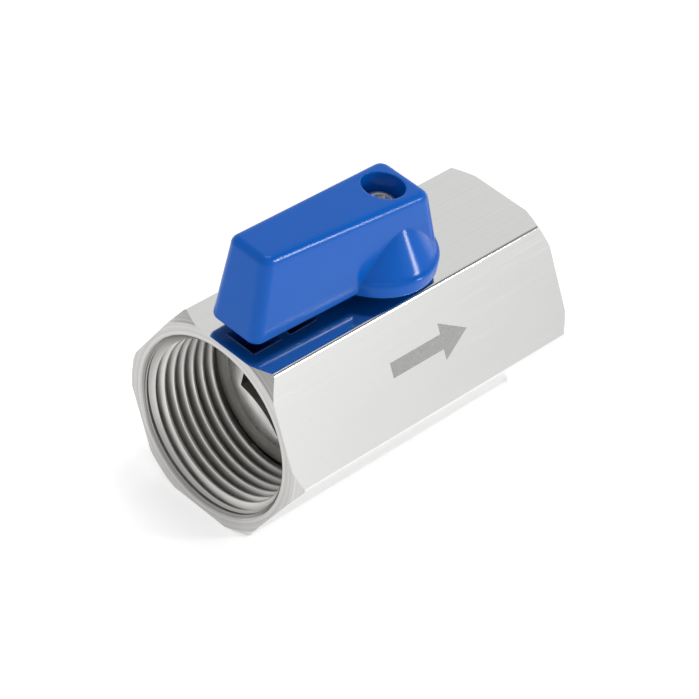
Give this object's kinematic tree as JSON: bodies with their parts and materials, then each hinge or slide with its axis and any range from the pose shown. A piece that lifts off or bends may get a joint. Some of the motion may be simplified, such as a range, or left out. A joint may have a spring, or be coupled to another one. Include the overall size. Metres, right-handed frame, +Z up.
{
  "type": "mini ball valve, female to female, quarter-turn lever",
  "caption": "Polished stainless hexagonal mini ball valve with female pipe threads at both ends and a short blue lever, shown open.",
  "frame": {"origin": "under the middle of the flat the body stands on", "axes": "+X along the pipe from the threaded inlet with the retainer ring to the outlet, +Z up along the stem"},
  "size_m": [0.055, 0.0332, 0.0441],
  "materials": {
    "polished_stainless": "machined and polished to a soft mirror",
    "turned_stainless": "turned, fine circular tool marks",
    "mirror_ball": "mirror polished",
    "ptfe": "moulded, waxy",
    "nitrile": "moulded black rubber",
    "blue_nylon": "moulded glossy blue",
    "plated_steel": "dark plated"
  },
  "bodies": {
    "valve": {"valve_body": "polished_stainless", "retainer_ring": "turned_stainless", "seat_ring_inlet": "ptfe", "seat_ring_outlet": "ptfe", "stop_pin": "turned_stainless"},
    "lever": {"handle": "blue_nylon", "handle_screw": "plated_steel", "stem": "turned_stainless", "stem_o_ring": "nitrile", "stem_thrust_washer": "ptfe"},
    "ball": {"ball": "mirror_ball"}
  },
  "joints": [
    {"name": "handle_turn", "type": "hinge", "parent": "valve", "child": "lever", "pos_m": [0.0005, 0, 0.029], "axis": [0, 0, -1], "range_deg": [0, 90]},
    {"name": "ball_turn", "type": "hinge", "parent": "valve", "child": "ball", "pos_m": [0.0005, 0, 0.0145], "axis": [0, 0, -1], "range_deg": [0, 90]}
  ],
  "couplings": [
    {"joint": "ball_turn", "follows": "handle_turn", "ratio": 1}
  ]
}
